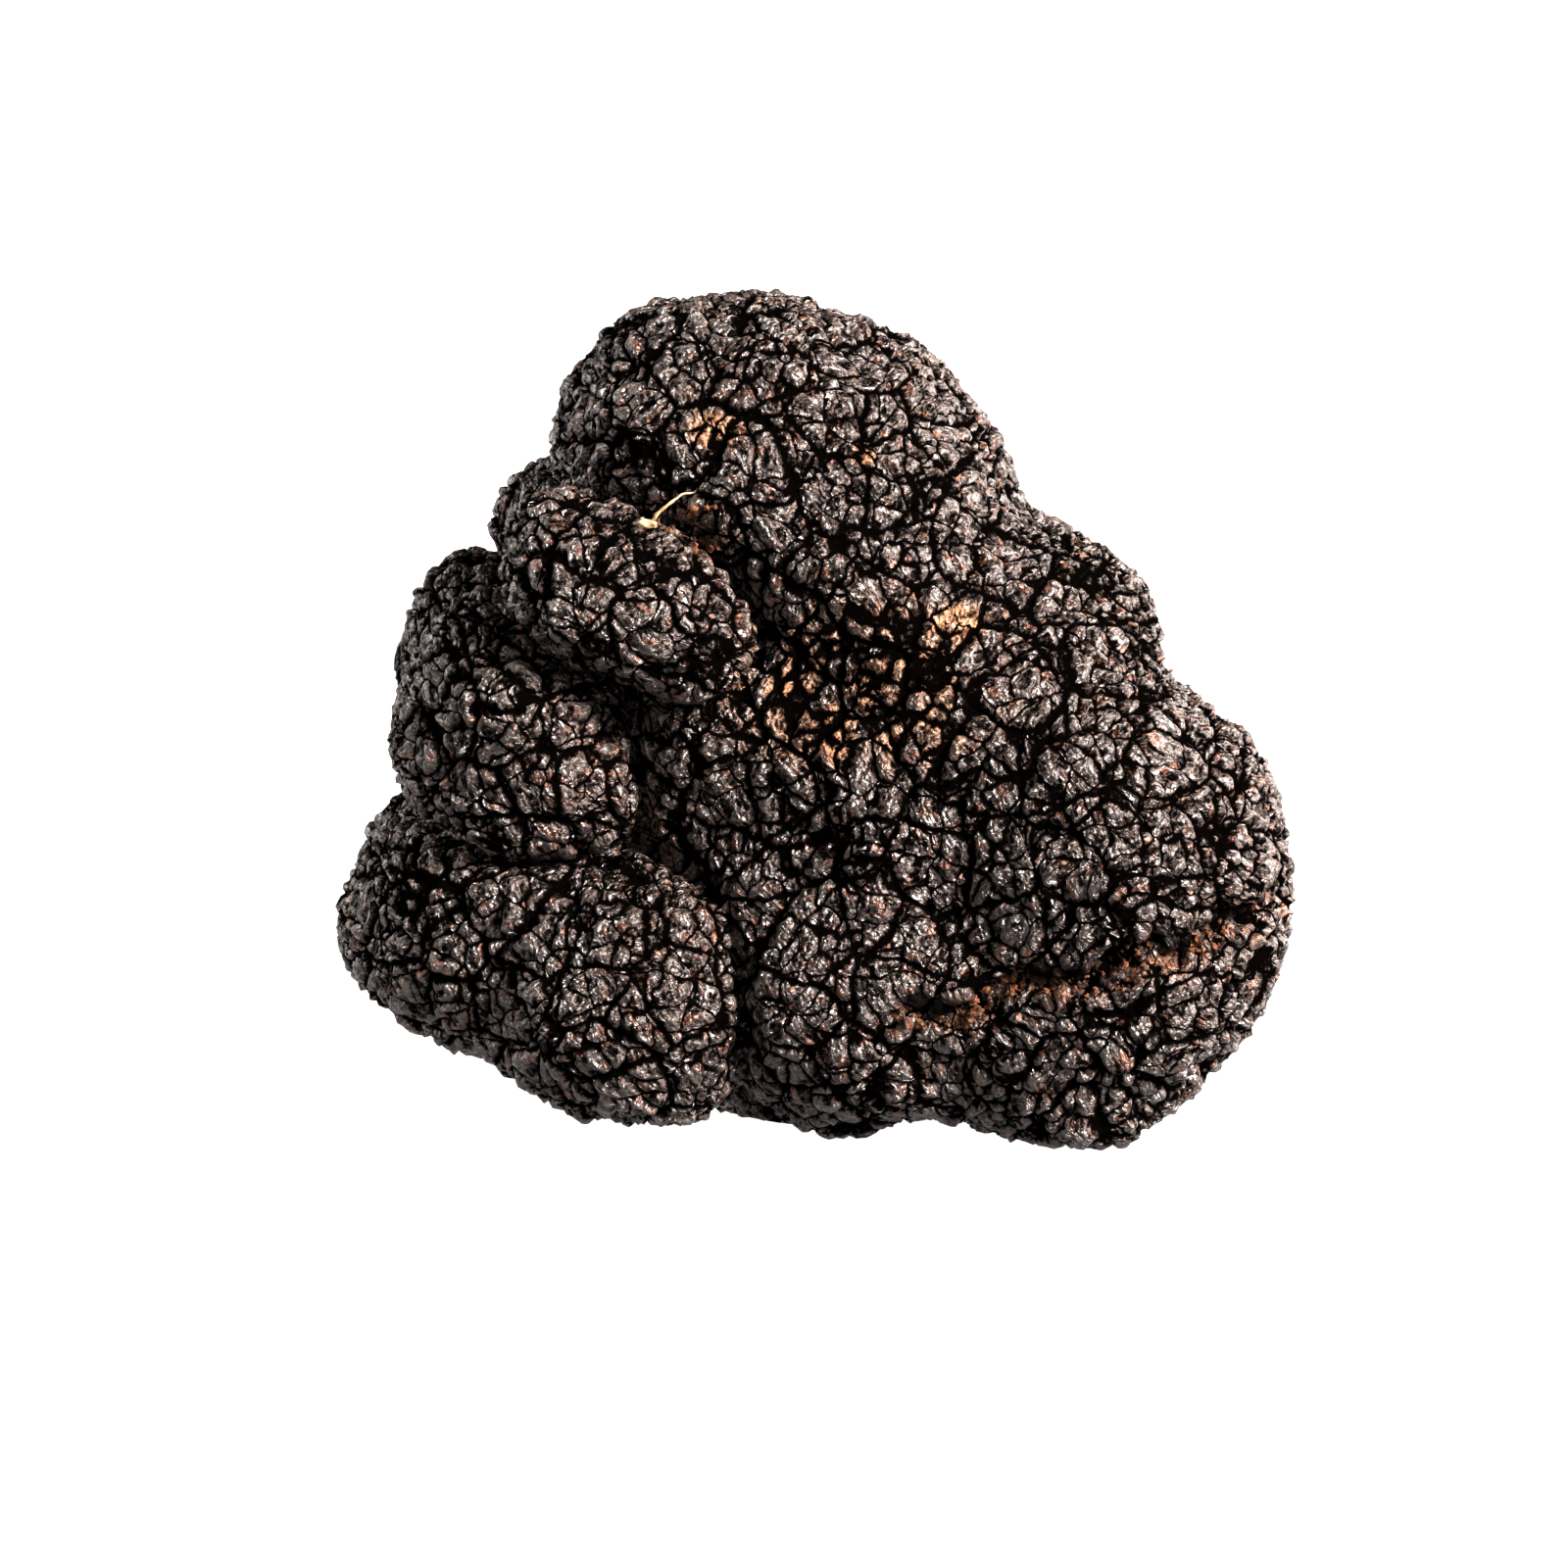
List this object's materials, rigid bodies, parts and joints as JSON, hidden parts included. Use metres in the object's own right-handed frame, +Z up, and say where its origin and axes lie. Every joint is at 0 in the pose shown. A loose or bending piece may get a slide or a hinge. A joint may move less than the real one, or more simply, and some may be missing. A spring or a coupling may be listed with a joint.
{
  "type": "black truffle",
  "caption": "Whole black truffle: a lobed, near-black fruit body covered in low polygonal warts, with deep creases and a small flat spot that it rests on.",
  "frame": {"origin": "bottom centre of the bounding box, on the plane that the truffle rests on", "axes": "+Z up; +X to the right seen from the front, along the longest extent; +Y towards the back, along the shortest extent"},
  "size_m": [0.072, 0.0498, 0.0625],
  "materials": {
    "skin": "near-black brown warty skin, satin with small glossy points and pitch-black cracks",
    "soil": "dry rusty brown soil, fully matt",
    "root_fibre": "pale straw-coloured dry root fibre"
  },
  "bodies": {
    "root": {"truffle": "skin"}
  },
  "joints": []
}
